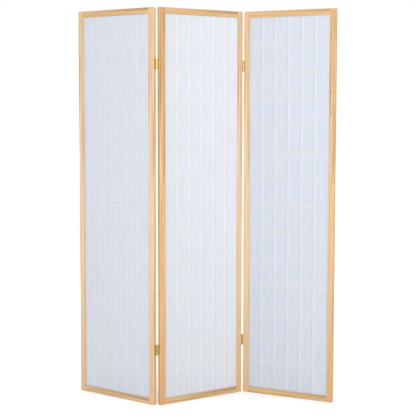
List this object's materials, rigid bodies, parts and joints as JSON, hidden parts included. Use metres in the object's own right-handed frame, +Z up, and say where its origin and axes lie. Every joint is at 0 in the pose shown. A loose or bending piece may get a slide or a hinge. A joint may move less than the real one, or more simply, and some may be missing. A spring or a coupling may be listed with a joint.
{
  "type": "folding screen",
  "caption": "Freestanding zigzag folding screen of hinged pine frames, each holding translucent paper over a slatted wooden lattice.",
  "frame": {"origin": "middle of the screen's footprint on the floor, in the standing pose of the picture", "axes": "+X to the right along the overall width, +Y from the papered front towards the lattice side at the back, +Z up"},
  "size_m": [1.179, 0.2728, 1.785],
  "materials": {
    "frame_wood": "clear satin on natural pine",
    "lattice_wood": "clear satin on natural pine",
    "paper": "translucent white rice paper",
    "hinge_brass": "bright brass plate"
  },
  "bodies": {
    "middle_panel": {"left_fold_lower_hinge_middle_leaf": "hinge_brass", "left_fold_lower_hinge_middle_screws": "hinge_brass", "left_fold_lower_hinge_pin": "hinge_brass", "left_fold_upper_hinge_middle_leaf": "hinge_brass", "left_fold_upper_hinge_middle_screws": "hinge_brass", "left_fold_upper_hinge_pin": "hinge_brass", "middle_bottom_rail": "frame_wood", "middle_crossbars": "lattice_wood", "middle_left_stile": "frame_wood", "middle_paper": "paper", "middle_right_stile": "frame_wood", "middle_top_rail": "frame_wood", "middle_upright_1": "lattice_wood", "middle_upright_2": "lattice_wood", "middle_upright_3": "lattice_wood", "middle_upright_4": "lattice_wood", "middle_upright_5": "lattice_wood", "right_fold_lower_hinge_middle_leaf": "hinge_brass", "right_fold_lower_hinge_middle_screws": "hinge_brass", "right_fold_lower_hinge_pin": "hinge_brass", "right_fold_upper_hinge_middle_leaf": "hinge_brass", "right_fold_upper_hinge_middle_screws": "hinge_brass", "right_fold_upper_hinge_pin": "hinge_brass"},
    "left_panel": {"left_bottom_rail": "frame_wood", "left_crossbars": "lattice_wood", "left_fold_lower_hinge_left_leaf": "hinge_brass", "left_fold_lower_hinge_left_screws": "hinge_brass", "left_fold_upper_hinge_left_leaf": "hinge_brass", "left_fold_upper_hinge_left_screws": "hinge_brass", "left_hinged_stile": "frame_wood", "left_outer_stile": "frame_wood", "left_paper": "paper", "left_top_rail": "frame_wood", "left_upright_1": "lattice_wood", "left_upright_2": "lattice_wood", "left_upright_3": "lattice_wood", "left_upright_4": "lattice_wood", "left_upright_5": "lattice_wood"},
    "right_panel": {"right_bottom_rail": "frame_wood", "right_crossbars": "lattice_wood", "right_fold_lower_hinge_right_leaf": "hinge_brass", "right_fold_lower_hinge_right_screws": "hinge_brass", "right_fold_upper_hinge_right_leaf": "hinge_brass", "right_fold_upper_hinge_right_screws": "hinge_brass", "right_hinged_stile": "frame_wood", "right_outer_stile": "frame_wood", "right_paper": "paper", "right_top_rail": "frame_wood", "right_upright_1": "lattice_wood", "right_upright_2": "lattice_wood", "right_upright_3": "lattice_wood", "right_upright_4": "lattice_wood", "right_upright_5": "lattice_wood"}
  },
  "joints": [
    {"name": "left_fold", "type": "hinge", "parent": "middle_panel", "child": "left_panel", "pos_m": [-0.21353, -0.12055, 0.8925], "axis": [0, 0, 1], "range_deg": [-111.5, 68.5]},
    {"name": "right_fold", "type": "hinge", "parent": "middle_panel", "child": "right_panel", "pos_m": [0.17694, 0.10441, 0.8925], "axis": [0, 0, 1], "range_deg": [-121.5, 58.5]}
  ]
}
